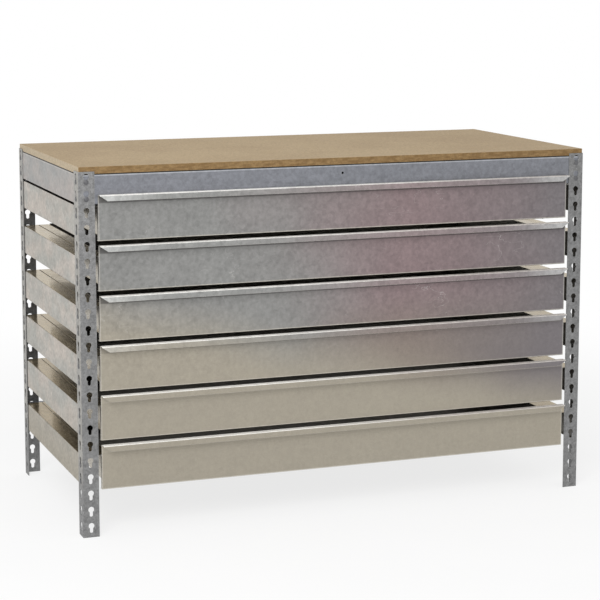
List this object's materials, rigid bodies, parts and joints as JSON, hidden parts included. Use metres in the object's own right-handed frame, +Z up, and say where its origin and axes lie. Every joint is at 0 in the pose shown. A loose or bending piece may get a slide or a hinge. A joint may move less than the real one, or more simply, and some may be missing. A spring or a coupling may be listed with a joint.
{
  "type": "workbench with drawers",
  "caption": "Boltless steel workbench with slotted angle posts, folded side panels, a flat board top and a full column of wide shallow sheet-steel drawers with pull lips.",
  "frame": {"origin": "on the floor, under the middle of the whole outline with the drawers closed", "axes": "+X along the bench to the right as seen from the front, +Y from the front to the back, +Z up"},
  "size_m": [1.27, 0.632, 0.8489],
  "materials": {
    "post_steel": "galvanised, matt, fine spangle",
    "beam_steel": "galvanised, matt, fine spangle",
    "drawer_front_steel": "galvanised, satin, mottled",
    "drawer_tray_steel": "galvanised, satin, mottled",
    "rivet_steel": "zinc plated, satin",
    "board": "bare pressed board, matt",
    "glide_plastic": "moulded, matt"
  },
  "bodies": {
    "frame": {"front_beam": "beam_steel", "front_left_post": "post_steel", "front_left_rivets": "rivet_steel", "front_right_post": "post_steel", "front_right_rivets": "rivet_steel", "left_runner_1": "beam_steel", "left_runner_2": "beam_steel", "left_runner_3": "beam_steel", "left_runner_4": "beam_steel", "left_runner_5": "beam_steel", "left_runner_6": "beam_steel", "left_top_beam": "beam_steel", "rear_beam": "beam_steel", "rear_left_post": "post_steel", "rear_left_rivets": "rivet_steel", "rear_lower_beam": "beam_steel", "rear_right_post": "post_steel", "rear_right_rivets": "rivet_steel", "right_runner_1": "beam_steel", "right_runner_2": "beam_steel", "right_runner_3": "beam_steel", "right_runner_4": "beam_steel", "right_runner_5": "beam_steel", "right_runner_6": "beam_steel", "right_top_beam": "beam_steel", "worktop": "board"},
    "drawer_1": {"drawer_1_back": "drawer_tray_steel", "drawer_1_front": "drawer_front_steel", "drawer_1_glides": "glide_plastic", "drawer_1_rivets": "rivet_steel", "drawer_1_tray": "drawer_tray_steel"},
    "drawer_2": {"drawer_2_back": "drawer_tray_steel", "drawer_2_front": "drawer_front_steel", "drawer_2_glides": "glide_plastic", "drawer_2_rivets": "rivet_steel", "drawer_2_tray": "drawer_tray_steel"},
    "drawer_3": {"drawer_3_back": "drawer_tray_steel", "drawer_3_front": "drawer_front_steel", "drawer_3_glides": "glide_plastic", "drawer_3_rivets": "rivet_steel", "drawer_3_tray": "drawer_tray_steel"},
    "drawer_4": {"drawer_4_back": "drawer_tray_steel", "drawer_4_front": "drawer_front_steel", "drawer_4_glides": "glide_plastic", "drawer_4_rivets": "rivet_steel", "drawer_4_tray": "drawer_tray_steel"},
    "drawer_5": {"drawer_5_back": "drawer_tray_steel", "drawer_5_front": "drawer_front_steel", "drawer_5_glides": "glide_plastic", "drawer_5_rivets": "rivet_steel", "drawer_5_tray": "drawer_tray_steel"},
    "drawer_6": {"drawer_6_back": "drawer_tray_steel", "drawer_6_front": "drawer_front_steel", "drawer_6_glides": "glide_plastic", "drawer_6_rivets": "rivet_steel", "drawer_6_tray": "drawer_tray_steel"}
  },
  "joints": [
    {"name": "drawer_1_slide", "type": "slide", "parent": "frame", "child": "drawer_1", "axis": [0, -1, 0], "range_m": [0, 0.43]},
    {"name": "drawer_2_slide", "type": "slide", "parent": "frame", "child": "drawer_2", "axis": [0, -1, 0], "range_m": [0, 0.43]},
    {"name": "drawer_3_slide", "type": "slide", "parent": "frame", "child": "drawer_3", "axis": [0, -1, 0], "range_m": [0, 0.43]},
    {"name": "drawer_4_slide", "type": "slide", "parent": "frame", "child": "drawer_4", "axis": [0, -1, 0], "range_m": [0, 0.43]},
    {"name": "drawer_5_slide", "type": "slide", "parent": "frame", "child": "drawer_5", "axis": [0, -1, 0], "range_m": [0, 0.43]},
    {"name": "drawer_6_slide", "type": "slide", "parent": "frame", "child": "drawer_6", "axis": [0, -1, 0], "range_m": [0, 0.43]}
  ]
}
